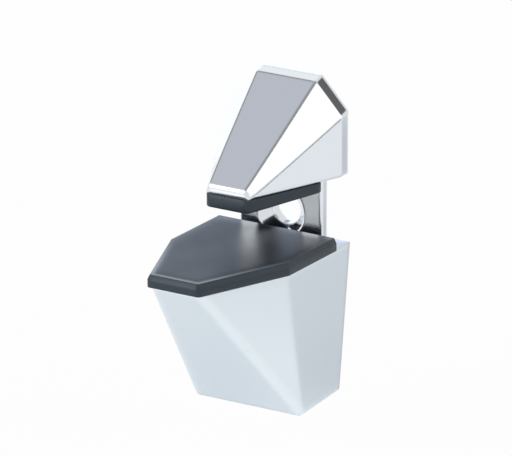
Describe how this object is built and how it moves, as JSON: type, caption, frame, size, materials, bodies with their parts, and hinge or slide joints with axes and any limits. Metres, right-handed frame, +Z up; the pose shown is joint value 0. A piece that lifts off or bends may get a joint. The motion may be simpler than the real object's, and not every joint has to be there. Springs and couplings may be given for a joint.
{
  "type": "adjustable shelf support",
  "caption": "Wall-mounted clamp shelf support: a faceted padded upper jaw on a stem and a sliding padded lower body, drawn together by a hex-socket screw.",
  "frame": {"origin": "where the axis of the wall screw hole meets the wall plane", "axes": "+Z up, +Y into the wall, +X to the right as seen facing the wall; the shelf lies on the -Y side"},
  "size_m": [0.0314, 0.0497, 0.0737],
  "materials": {
    "polished_chrome": "polished chrome plate on a zinc casting",
    "satin_chrome": "satin pearl chrome plate on a zinc casting",
    "pad_rubber": "smooth moulded, slight sheen",
    "zinc_plated_steel": "bright zinc plate",
    "spring_steel": "dark phosphated spring steel"
  },
  "bodies": {
    "upper_jaw": {"upper_jaw": "polished_chrome", "upper_pad": "pad_rubber"},
    "lower_body": {"lower_body": "satin_chrome", "lower_pad": "pad_rubber"},
    "clamp_screw": {"clamp_screw": "zinc_plated_steel", "retaining_ring": "spring_steel"}
  },
  "joints": [
    {"name": "lower_jaw_slide", "type": "slide", "parent": "upper_jaw", "child": "lower_body", "axis": [0, 0, 1], "range_m": [-0.0108, 0.0065]},
    {"name": "clamp_screw_turn", "type": "hinge", "parent": "lower_body", "child": "clamp_screw", "pos_m": [0, -0.0108, -0.0368], "axis": [0, 0, 1], "range_deg": [-4862, 2927]}
  ],
  "couplings": [
    {"joint": "clamp_screw_turn", "follows": "lower_jaw_slide", "rad_per_m": 7854}
  ]
}
